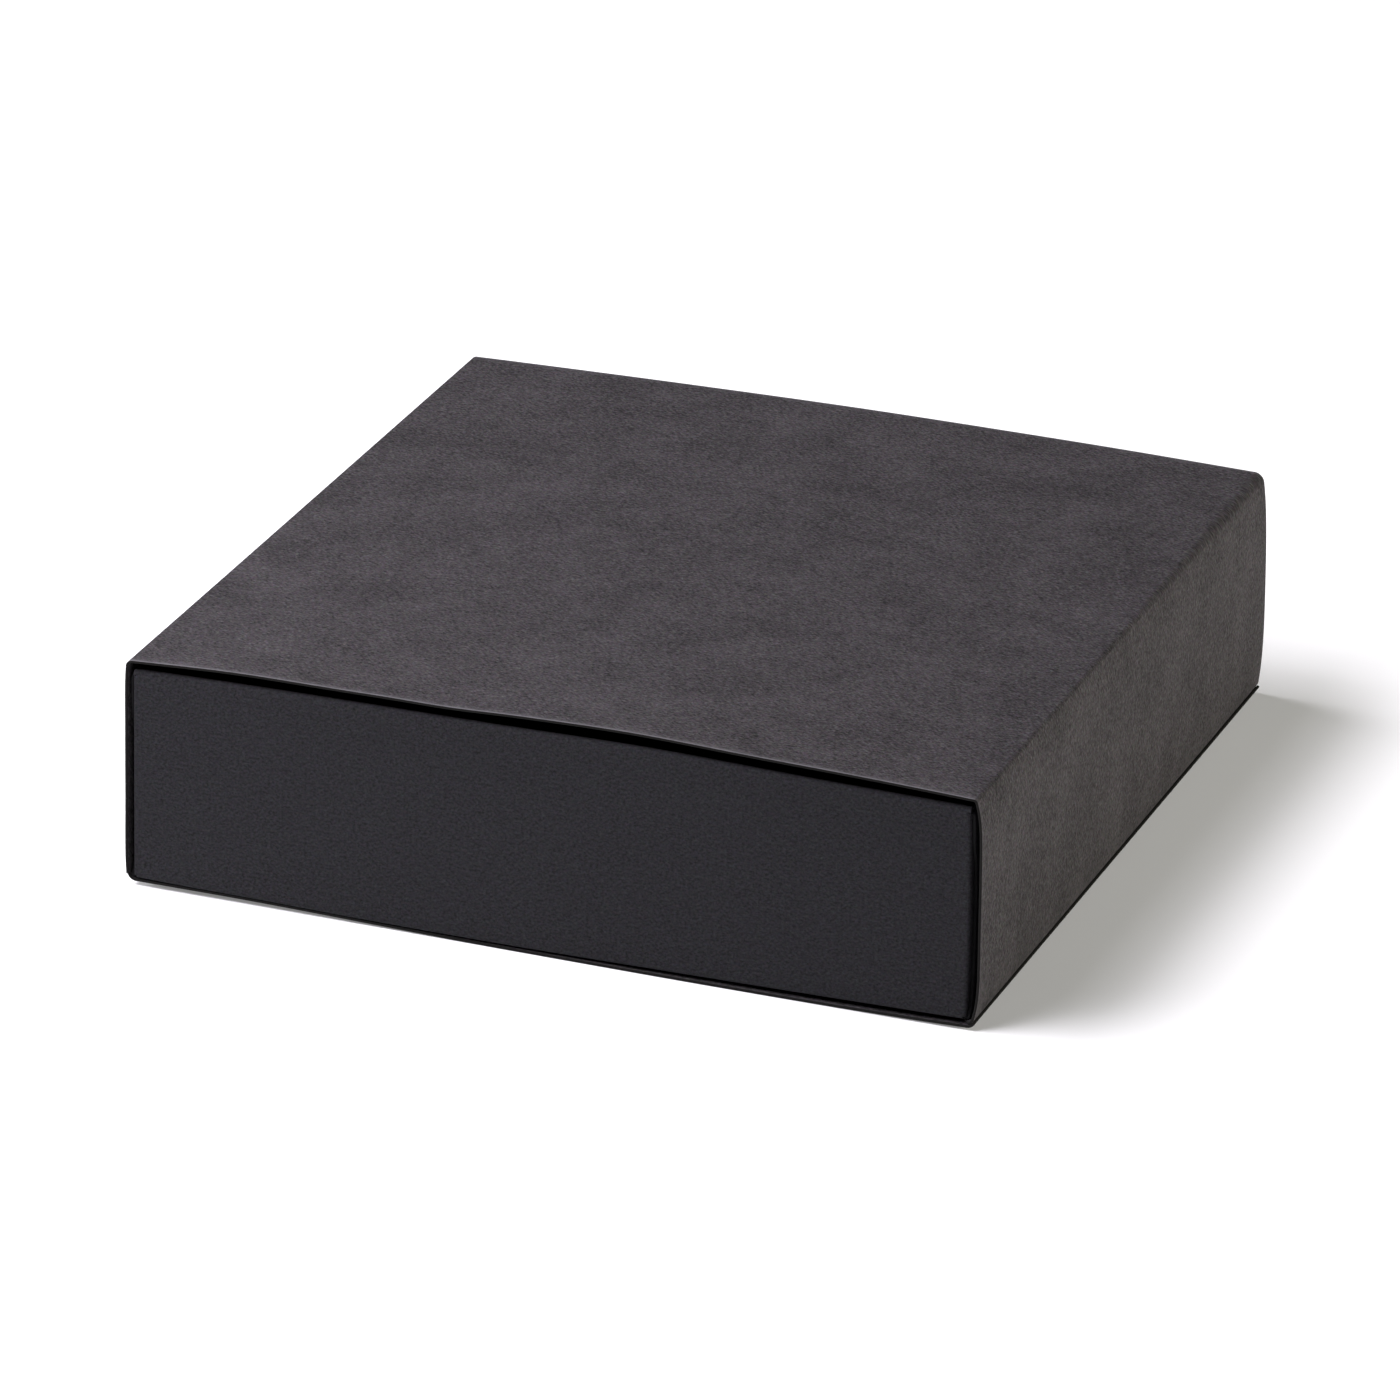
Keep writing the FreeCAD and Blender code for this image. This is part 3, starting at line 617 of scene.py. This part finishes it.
def rising(distance, rise, start, span, power):
    return rise * np.clip((distance - start) / span, 0.0, None) ** power


def tray_bottom_line(x):
    """The front wall's lower edge.  It sags between its corners down to just above the sleeve."""
    hanging = FRONT_FOOT + rising(-x, *FOOT_RISES_LEFT) + rising(x, *FOOT_RISES_RIGHT)
    return np.maximum(hanging, sleeve_bottom(x) + SLEEVE_BOARD + SLIDE_GAP)


def tray_top_line(x):
    u = x / HALF_X
    arch = 1.0 - u * u
    height, place, width = FRONT_TOP_WAVE
    return (FRONT_TOP + FRONT_TOP_ARCH * arch + FRONT_TOP_LEAN * u * arch
            + height * hump(x, place, width))


def tray_warp(points):
    """The folded tray isn't exact: its bottom sags, its walls lean and bow a little."""
    x, y, z = points[:, 0].copy(), points[:, 1].copy(), points[:, 2].copy()
    s = np.clip(x / FACE_HALF, -1.0, 1.0)
    h = np.clip((z - TRAY_BASE) / (TRAY_TOP - TRAY_BASE), 0.0, 1.0)
    left, right = (1 - s) / 2, (1 + s) / 2
    front = smooth(-y, *LEFT_SHIFT_SPAN)
    left_in_front = mix(LEFT_SHIFT_FOOT, LEFT_SHIFT_TOP, h ** LEFT_SHIFT_POWER)
    shift_left = mix(LEFT_SHIFT_BACK, left_in_front, front)
    shift_right = RIGHT_SHIFT + RIGHT_BULGE * arch_over(h)
    calm_x, calm_y = 1 - (x / HALF_X) ** 2, 1 - (y / HALF_Y_CALM) ** 2
    lift = mix(tray_bottom_line(x) - TRAY_BASE, tray_top_line(x) - TRAY_TOP, h)
    floor_lift = (FLOOR_LIFT + floor_ripple.at(x, y)) * calm_x * calm_y
    lift = lift + (1 - h) ** FLOOR_LIFT_POWER * floor_lift
    # The long walls bow inward between the corners.
    bow = WALL_BOW * h * (1 - (y / HALF_Y) ** 2)
    near_side = smooth(np.abs(x), *SIDE_WALL)
    near_end = smooth(np.abs(y), *END_WALL)
    x = x + left * shift_left + right * shift_right
    side_wave = calm_y * h * wall_ripple.at(y, z * SIDE_WALL_STRETCH)
    x = x + near_side * np.sign(s) * (side_wave - bow)
    end_wave = arch_over(h) * calm_x * wall_ripple.at(x + END_WALL_OFFSET, z)
    y = y + near_end * np.sign(y) * end_wave
    return np.stack([x, y, z + lift], -1)


def tray_lines():
    """The places of the sheet's grid lines: across the bottom, and up, over and down a wall."""
    marks = [ROLL_HALF, FACE_X, ROLL_HALF - 0.4, ROLL_HALF - 1.4]
    even = [x for x in spread(-BOTTOM_X, BOTTOM_X, ACROSS_STEPS)
            if abs(x) < marks[-1] - 1 or abs(abs(x) - BOTTOM_X) < TOUCH]
    across = sorted({round(float(x), 6) for x in even + marks + [-m for m in marks]})
    over, down = CREASE_ARC + RISE, CREASE_ARC + RISE + ROLL_ARC
    up = [CREASE_ARC * n / FOLD_STEPS for n in range(FOLD_STEPS + 1)]
    up += list(CREASE_ARC + np.linspace(0, EAR_S - CREASE_ARC - 0.08, RISE_STEPS)[1:])
    up += [EAR_S, over]
    up += [over + ROLL_ARC * n / ROLL_STEPS for n in range(1, ROLL_STEPS + 1)]
    up += list(down + np.linspace(0, DROP - 0.3, DROP_STEPS)[1:]) + [down + DROP]
    return np.array(across), np.array(up)


def make_tray():
    across, up = tray_lines()
    along = spread(-BOTTOM_Y, BOTTOM_Y, ALONG_STEPS, ends=ALONG_END_STEPS)
    board = Board(TRAY_BOARD, TRAY_EDGE_RADIUS)
    board.patch(across, along, tray_fold)
    half_roll = CREASE_ARC + RISE + ROLL_ARC / 2
    face = across[np.abs(across) <= FACE_X + TOUCH]
    inner = across[np.abs(across) <= ROLL_HALF + TOUCH]
    tab_u = FACE_X + np.concatenate([np.linspace(0, TAB_ARC, 6),
                                     TAB_ARC + np.linspace(0, TAB_LENGTH - TAB_CREASE, 8)[1:]])
    ear_u = np.array([FACE_X, (FACE_X + EAR_X) / 2, EAR_X])
    outer_layer = up[up <= half_roll + TOUCH]
    inner_layer = up[up >= half_roll - TOUCH]
    tab = up[(up >= CREASE_ARC - TOUCH) & (up < EAR_S - TOUCH)]
    ear = up[(up >= EAR_S - TOUCH) & (up <= half_roll + TOUCH)]
    for side in (-1, 1):
        board.patch(side * (BOTTOM_X + up), along, tray_fold)
        board.patch(face, side * (BOTTOM_Y + outer_layer), tray_fold)
        board.patch(inner, side * (BOTTOM_Y + inner_layer), tray_fold)
        for hand in (-1, 1):
            board.patch(hand * tab_u, side * (BOTTOM_Y + tab), tray_fold)
            board.patch(hand * ear_u, side * (BOTTOM_Y + ear), tray_fold)
    return board.build("tray_visual", warp=tray_warp)


# --------------------------------------------------------------------------------------- glue

GLUE_RINGS = 7
GLUE_SPOKES = 72
GLUE_SQUARENESS = 5.0
GLUE_FILL = 0.93  # how much of its place a spot fills
GLUE_WAVES, GLUE_WAVE_HEIGHT, GLUE_WAVE_PHASE = (2, 3, 5, 8, 11), (0.008, 0.02), 6.3
GLUE_RIM_BULGE = 0.01
SEAM_GLUE_SHY, SEAM_GLUE_LIFT = 0.015, 0.01  # short of touching the boards, and its middle's height
CORNER_GLUE_SHY = 0.004


def glue_spot(seed, half_width, half_height, place):
    """A spread spot of glue pressed flat between two boards, with an uneven rounded outline.

    place gives the point for a distance across, a distance up and the part of the way (-1 to 1)
    from one board to the other.
    """
    rng = np.random.default_rng(seed)
    angle = np.linspace(0, 2 * math.pi, GLUE_SPOKES, endpoint=False)
    wobble = sum(rng.uniform(*GLUE_WAVE_HEIGHT)
                 * np.sin(k * angle + rng.uniform(0, GLUE_WAVE_PHASE)) for k in GLUE_WAVES)
    corners = np.abs(np.cos(angle)) ** GLUE_SQUARENESS + np.abs(np.sin(angle)) ** GLUE_SQUARENESS
    outline = (GLUE_FILL + wobble) / corners ** (1 / GLUE_SQUARENESS)
    # Out along one board, round the rim, and back in along the other.
    inward = [(r, -1.0) for r in np.linspace(1 / GLUE_RINGS, 1, GLUE_RINGS)]
    rim = [(1 + GLUE_RIM_BULGE * math.cos(a), math.sin(a)) for a in np.radians((-50, 0, 50))]
    path = inward + rim + [(r, 1.0) for r, _ in reversed(inward)]
    vertices = [place(0.0, 0.0, -1.0)]
    for radius, level in path:
        for a, reach in zip(angle, outline):
            vertices.append(place(half_width * radius * reach * math.cos(a),
                                  half_height * radius * reach * math.sin(a), level))
    vertices.append(place(0.0, 0.0, 1.0))
    last = 1 + (len(path) - 1) * GLUE_SPOKES
    faces = []
    for k in range(GLUE_SPOKES):
        after = (k + 1) % GLUE_SPOKES
        faces.append((0, 1 + after, 1 + k))
        for n in range(len(path) - 1):
            low, high = 1 + n * GLUE_SPOKES, 1 + (n + 1) * GLUE_SPOKES
            faces.append((low + k, low + after, high + after, high + k))
        faces.append((last + k, last + after, len(vertices) - 1))
    return np.array(vertices), faces


def glue_piece(name, vertices, faces, body, cad_name):
    piece = new_object(name, vertices, faces)
    piece.data.materials.append(glue_material)
    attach(piece, body)
    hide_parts(cad_name)


def make_seam_glue():
    low, high = box_of("sleeve_seam_glue")
    centre, half = (low + high) / 2, (high - low) / 2

    def place(across, along, level):
        x = centre[0] + across
        middle = float(sleeve_bottom(x)) + SLEEVE_BOARD + SEAM_GAP / 2 + SEAM_GLUE_LIFT
        return (x, centre[1] + along, middle + level * (SEAM_GAP / 2 - SEAM_GLUE_SHY))

    vertices, faces = glue_spot(31, half[0], half[1], place)
    glue_piece("seam_glue_visual", vertices, faces, "sleeve", "sleeve_seam_glue")


def make_corner_glue():
    for n, corner in enumerate(("front_left", "front_right", "back_left", "back_right")):
        low, high = box_of("tray_corner_glue_" + corner)
        centre, half = (low + high) / 2, (high - low) / 2
        # The spot's outward side is the level of 1, so on the left the turn across is reversed.
        hand = math.copysign(1.0, centre[0])

        def place(across, up, level):
            return (centre[0] + hand * level * (half[0] - CORNER_GLUE_SHY),
                    centre[1] + hand * across, centre[2] + up)

        vertices, faces = glue_spot(41 + n, half[1], half[2], place)
        glue_piece("corner_glue_%s_visual" % corner, tray_warp(vertices), faces, "tray",
                   "tray_corner_glue_" + corner)


# ---------------------------------------------------------------------------------- materials

# Scales are features per millimetre, and shifts keep one noise from repeating another.
CLOUDS = {"scale": 0.07, "detail": 2.0, "roughness": 0.9, "stretch": (0.8, 1.0, 1.0)}
GRAIN = {"scale": 2.2, "detail": 1.0, "roughness": 0.8, "stretch": (0.9, 1.1, 1.0),
         "shift": (2.0, 17.0, 0.0)}
# Patches of the arris wear and painted highlight.
WEAR_AND_HIGHLIGHT_PATCHES = {"scale": 0.9, "detail": 3.0, "roughness": 0.7, "stretch": (0.6, 0.6, 1.0)}
CORE_LAYERS = {"scale": 3.0, "detail": 4.0, "roughness": 0.75}
GLUE_CLOUDS = {"scale": 0.4, "detail": 3.0, "roughness": 0.6}
BUBBLE_SCALE = 1.6
HUE_SHIFT = (5.0, 3.0, 0.0)
HUE_NOISE = {"Scale": 2.0, "Detail": 1.0, "Roughness": 0.7}
# Felted fibres, about 1.4 mm by 0.4 mm, lie near three directions: turn, shift.
FIBRE_STRETCH = (0.7, 2.4, 1.0)
FIBRE_NOISE = {"Scale": 1.0, "Detail": 1.0, "Roughness": 0.6, "Distortion": 0.5}
FIBRE_LAYS = ((0.2, (0.0, 0.0, 0.0)), (0.75, (31.0, 9.0, 0.0)), (-0.45, (7.0, 43.0, 0.0)))
DARKEST = 0.25  # of the board's own brightness
GRAIN_RELIEF, FIBRE_RELIEF, BOARD_RELIEF = 0.6, 0.5, 0.03
GRAIN_GLOSS = -0.15
BOARD_SPECULAR, BOARD_IOR = 0.22, 1.5
CORE_UNEVEN, CORE_RELIEF, CORE_ROUGHNESS, CORE_SPECULAR = 0.9, 0.06, 0.95, 0.15
GLUE_CLOUDY, GLUE_BUBBLY, GLUE_RELIEF = 0.5, 0.15, 0.04
GLUE_GLOSS, GLUE_SPECULAR, GLUE_IOR = (0.25, 0.25), 0.5, 1.47


class Nodes:
    """Adds nodes to a new material and joins them."""

    def __init__(self, name):
        self.material = bpy.data.materials.new(name)
        self.material.use_nodes = True
        self.tree = self.material.node_tree
        self.tree.nodes.clear()

    def add(self, kind, inputs=None, **settings):
        node = self.tree.nodes.new(kind)
        for name, value in settings.items():
            setattr(node, name, value)
        for name, value in (inputs or {}).items():
            if hasattr(value, "is_output"):
                self.tree.links.new(value, node.inputs[name])
            else:
                node.inputs[name].default_value = value
        return node

    def math(self, operation, a, b, c=0.0):
        return self.add("ShaderNodeMath", {0: a, 1: b, 2: c}, operation=operation).outputs[0]

    def vector(self, operation, inputs):
        return self.add("ShaderNodeVectorMath", inputs, operation=operation).outputs[0]

    def vary(self, level, noise, amount, middle=0.5):
        """The level with a noise round its middle value added to it."""
        return self.math("MULTIPLY_ADD", self.math("SUBTRACT", noise, middle), amount, level)

    def ramp(self, value, low, high, out_low=0.0, out_high=1.0):
        inputs = {"Value": value, "From Min": low, "From Max": high, "To Min": out_low,
                  "To Max": out_high}
        node = self.add("ShaderNodeMapRange", inputs, interpolation_type="SMOOTHSTEP")
        return node.outputs["Result"]

    def millimetres(self, place):
        return self.vector("SCALE", {0: place, "Scale": 1 / MM})

    def noise(self, place, scale, detail, roughness, stretch=(1.0, 1.0, 1.0),
              shift=(0.0, 0.0, 0.0)):
        mapped = self.add("ShaderNodeMapping",
                          {"Vector": place, "Scale": stretch, "Location": shift})
        inputs = {"Vector": mapped.outputs[0], "Scale": scale, "Detail": detail,
                  "Roughness": roughness}
        return self.add("ShaderNodeTexNoise", inputs).outputs["Fac"]

    def attribute(self, name):
        return self.add("ShaderNodeAttribute", attribute_name=name).outputs["Fac"]

    def bump(self, height, relief):
        return self.add("ShaderNodeBump", {"Height": height, "Distance": relief * MM,
                                           "Strength": 1.0}).outputs[0]

    def surface(self, inputs):
        """The material, with a principled shader of these inputs as its surface."""
        shader = self.add("ShaderNodeBsdfPrincipled", inputs)
        self.add("ShaderNodeOutputMaterial", {"Surface": shader.outputs[0]})
        return self.material


def fibres(nodes, place, turn, shift):
    turned = nodes.add("ShaderNodeMapping", {"Vector": place, "Rotation": (0.0, 0.0, turn),
                                             "Location": shift})
    drawn = nodes.add("ShaderNodeMapping", {"Vector": turned.outputs[0], "Scale": FIBRE_STRETCH})
    node = nodes.add("ShaderNodeTexNoise", {"Vector": drawn.outputs[0], **FIBRE_NOISE})
    return node.outputs["Fac"]


def board_material(name, colour, clouds, felt, grain, tint, roughness, creased=None,
                   worn_and_highlight_colour=None):
    """Uncoated black board: cloudy formation, felted fibres of many tints, and fine grain.

    clouds, felt and grain say how strongly each changes the brightness, and tint how strongly the
    fibres differ in hue.  creased says how much darker the folds are.  The last colour is the
    lighter colour of the arrises along the cut edges, partly wear and partly a painted highlight.
    """
    nodes = Nodes(name)
    place = nodes.millimetres(nodes.add("ShaderNodeUVMap", uv_map="Sheet").outputs[0])
    cloud = nodes.noise(place, **CLOUDS)
    lays = [fibres(nodes, place, *lay) for lay in FIBRE_LAYS]
    crossing = nodes.math("ADD", lays[0], nodes.math("ADD", lays[1], lays[2]))
    fine = nodes.noise(place, **GRAIN)

    # Brightness of the board round 1.
    level = nodes.vary(1.0, cloud, clouds)
    level = nodes.vary(level, crossing, felt, middle=1.5)
    level = nodes.vary(level, fine, grain)
    if creased is not None:
        folds = nodes.math("MULTIPLY_ADD", nodes.attribute("bend"), -creased, 1.0)
        level = nodes.math("MULTIPLY", level, folds)
    level = nodes.math("MAXIMUM", level, DARKEST)

    spots = nodes.add("ShaderNodeMapping", {"Vector": place, "Location": HUE_SHIFT})
    hues = nodes.add("ShaderNodeTexNoise", {"Vector": spots.outputs[0], **HUE_NOISE})
    offset = nodes.vector("SUBTRACT", {0: hues.outputs["Color"], 1: (0.5, 0.5, 0.5)})
    tinge = nodes.vector("MULTIPLY_ADD", {0: offset, 1: (tint, tint, tint), 2: (1.0, 1.0, 1.0)})
    tinged = nodes.vector("MULTIPLY", {0: tinge, 1: colour})
    shade = nodes.vector("SCALE", {0: tinged, "Scale": level})

    # Wear and painted highlight: the marked arrises take a lighter colour.
    if worn_and_highlight_colour is not None:
        patchy = nodes.ramp(nodes.noise(place, **WEAR_AND_HIGHLIGHT_PATCHES), 0.25, 0.6, 0.6, 1.0)
        highlighted_wear = nodes.math("MULTIPLY", nodes.attribute("wear_and_highlight"), patchy)
        # Inputs 6 and 7 are the two colours, output 2 their mixture.
        blend = nodes.add("ShaderNodeMix", {0: highlighted_wear, 6: shade, 7: (*worn_and_highlight_colour, 1.0)},
                          data_type="RGBA")
        shade = blend.outputs[2]

    relief = nodes.math("MULTIPLY_ADD", fine, GRAIN_RELIEF,
                        nodes.math("MULTIPLY", crossing, FIBRE_RELIEF))
    gloss = nodes.vary(roughness, fine, GRAIN_GLOSS)
    return nodes.surface({"Base Color": shade, "Roughness": gloss,
                          "Normal": nodes.bump(relief, BOARD_RELIEF),
                          "Specular IOR Level": BOARD_SPECULAR, "IOR": BOARD_IOR})


def core_material(name, colour):
    """The cut edge of the board, where the fibres lie in fine layers."""
    nodes = Nodes(name)
    place = nodes.millimetres(nodes.add("ShaderNodeTexCoord").outputs["Object"])
    rough = nodes.noise(place, **CORE_LAYERS)
    level = nodes.vary(1.0, rough, CORE_UNEVEN)
    return nodes.surface({"Base Color": nodes.vector("SCALE", {0: colour, "Scale": level}),
                          "Roughness": CORE_ROUGHNESS, "Normal": nodes.bump(rough, CORE_RELIEF),
                          "Specular IOR Level": CORE_SPECULAR, "IOR": BOARD_IOR})


def adhesive_material(name, colour):
    """Dried white glue: milky, shiny, with small bubbles and thin places."""
    nodes = Nodes(name)
    place = nodes.millimetres(nodes.add("ShaderNodeTexCoord").outputs["Object"])
    cloud = nodes.noise(place, **GLUE_CLOUDS)
    bubbles = nodes.add("ShaderNodeTexVoronoi", {"Vector": place, "Scale": BUBBLE_SCALE})
    depth = bubbles.outputs["Distance"]
    level = nodes.vary(1.0, cloud, GLUE_CLOUDY)
    level = nodes.math("MULTIPLY_ADD", nodes.ramp(depth, 0.05, 0.25), GLUE_BUBBLY, level)
    return nodes.surface({"Base Color": nodes.vector("SCALE", {0: colour, "Scale": level}),
                          "Roughness": nodes.math("MULTIPLY_ADD", cloud, *GLUE_GLOSS),
                          "Normal": nodes.bump(nodes.math("ADD", cloud, depth), GLUE_RELIEF),
                          "Specular IOR Level": GLUE_SPECULAR, "IOR": GLUE_IOR})


# The lighter arris colour is partly wear and partly a painted highlight.
sleeve_face = board_material("sleeve board", (0.0352, 0.0314, 0.0338), clouds=1.2, felt=1.6,
                             grain=2.4, tint=0.7, roughness=0.88, creased=0.15,
                             worn_and_highlight_colour=(0.140, 0.134, 0.142))
sleeve_core = core_material("sleeve board core", (0.0090, 0.0085, 0.0080))
tray_face = board_material("tray board", (0.0129, 0.0124, 0.0147), clouds=0.15, felt=0.7,
                           grain=2.8, tint=0.7, roughness=0.85)
tray_core = core_material("tray board core", (0.007, 0.007, 0.0075))
glue_material = adhesive_material("adhesive", (0.62, 0.60, 0.52))

# ------------------------------------------------------------------------------------- pieces

sleeve = make_sleeve()
sleeve.data.materials.append(sleeve_face)
sleeve.data.materials.append(sleeve_core)
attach(sleeve, "sleeve")
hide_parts("sleeve")

tray = make_tray()
tray.data.materials.append(tray_face)
tray.data.materials.append(tray_core)
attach(tray, "tray")
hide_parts("tray")

make_seam_glue()
make_corner_glue()

# ------------------------------------------------------------------------ floor, light, camera

LIGHTS = [
    # name, turn from the front to the right and height in degrees, distance, size, power, colour
    ("window", -90.0, 55.0, 2.2, 1.2, 30.0, (1.0, 0.98, 1.04)),
    ("front left", -45.0, 55.0, 2.2, 1.2, 29.5, (1.0, 0.98, 1.05)),
    ("near left", -40.0, 45.0, 0.4, 0.25, 0.9, (1.0, 0.98, 1.05)),
    ("low left", -90.0, 10.0, 0.7, 0.3, 4.5, (1.0, 0.98, 1.04)),
    ("low right", 100.0, 8.0, 0.6, 0.3, 2.75, (1.0, 0.97, 0.84)),
]
LIGHT_CENTRE = Vector((0.0, 0.0, 0.02))
FLOOR_HALF = 4.0
FLOOR_SHADE, FLOOR_ROUGHNESS, FLOOR_GLOW = 0.82, 0.9, 0.2
# A long lens, from the front right and above.
CAMERA_TURN, CAMERA_HEIGHT, CAMERA_ROLL = 20.54, 23.146, 0.854
CAMERA_DISTANCE, CAMERA_LENS, CAMERA_SENSOR = 1.6013, 241.16, 36.0
CAMERA_TARGET = Vector((-0.0017, 0.0, 0.0159))
CAMERA_CLIP = (0.05, 50.0)


def way_to(turn, height):
    """The way from the box to a lamp or the camera, from its turn and height in degrees."""
    turn, height = math.radians(turn), math.radians(height)
    return Vector((math.sin(turn) * math.cos(height), -math.cos(turn) * math.cos(height),
                   math.sin(height)))


def add_aimed(name, data, place, target, roll=0.0):
    """Puts a lamp or the camera at place, looking at target."""
    ahead = (target - place).normalized()
    level = ahead.cross(Vector((0, 0, 1))).normalized()
    above = level.cross(ahead)
    right = level * math.cos(roll) + above * math.sin(roll)
    up = right.cross(ahead)
    thing = bpy.data.objects.new(name, data)
    bpy.context.scene.collection.objects.link(thing)
    turn = Matrix((right, up, -ahead)).transposed().to_4x4()
    thing.matrix_world = Matrix.Translation(place) @ turn
    return thing


def make_lights():
    for name, turn, height, distance, size, power, colour in LIGHTS:
        lamp = bpy.data.lights.new(name, "AREA")
        lamp.shape = "DISK"
        lamp.size = size
        lamp.energy = power
        lamp.color = colour
        add_aimed(name, lamp, LIGHT_CENTRE + way_to(turn, height) * distance, LIGHT_CENTRE)
    # All the light comes from the lamps and the floor.
    world = bpy.data.worlds.new("studio")
    bpy.context.scene.world = world
    world.use_nodes = True
    world.node_tree.nodes["Background"].inputs["Strength"].default_value = 0.0


def make_floor():
    half = FLOOR_HALF
    mesh = bpy.data.meshes.new("floor")
    mesh.from_pydata([(-half, -half, 0), (half, -half, 0), (half, half, 0), (-half, half, 0)],
                     [], [(0, 1, 2, 3)])
    floor = bpy.data.objects.new("floor", mesh)
    bpy.context.scene.collection.objects.link(floor)
    mesh.materials.append(Nodes("floor").surface({
        "Base Color": (FLOOR_SHADE, FLOOR_SHADE, FLOOR_SHADE, 1.0), "Roughness": FLOOR_ROUGHNESS,
        "Specular IOR Level": 0.0, "Emission Color": (1.0, 1.0, 1.0, 1.0),
        "Emission Strength": FLOOR_GLOW}))


def make_camera():
    data = bpy.data.cameras.new("camera")
    data.sensor_width = CAMERA_SENSOR
    data.lens = CAMERA_LENS
    data.clip_start, data.clip_end = CAMERA_CLIP
    place = CAMERA_TARGET + way_to(CAMERA_TURN, CAMERA_HEIGHT) * CAMERA_DISTANCE
    camera = add_aimed("camera", data, place, CAMERA_TARGET, math.radians(CAMERA_ROLL))
    bpy.context.scene.camera = camera


make_lights()
make_floor()
make_camera()
bpy.context.scene.view_settings.view_transform = "Standard"
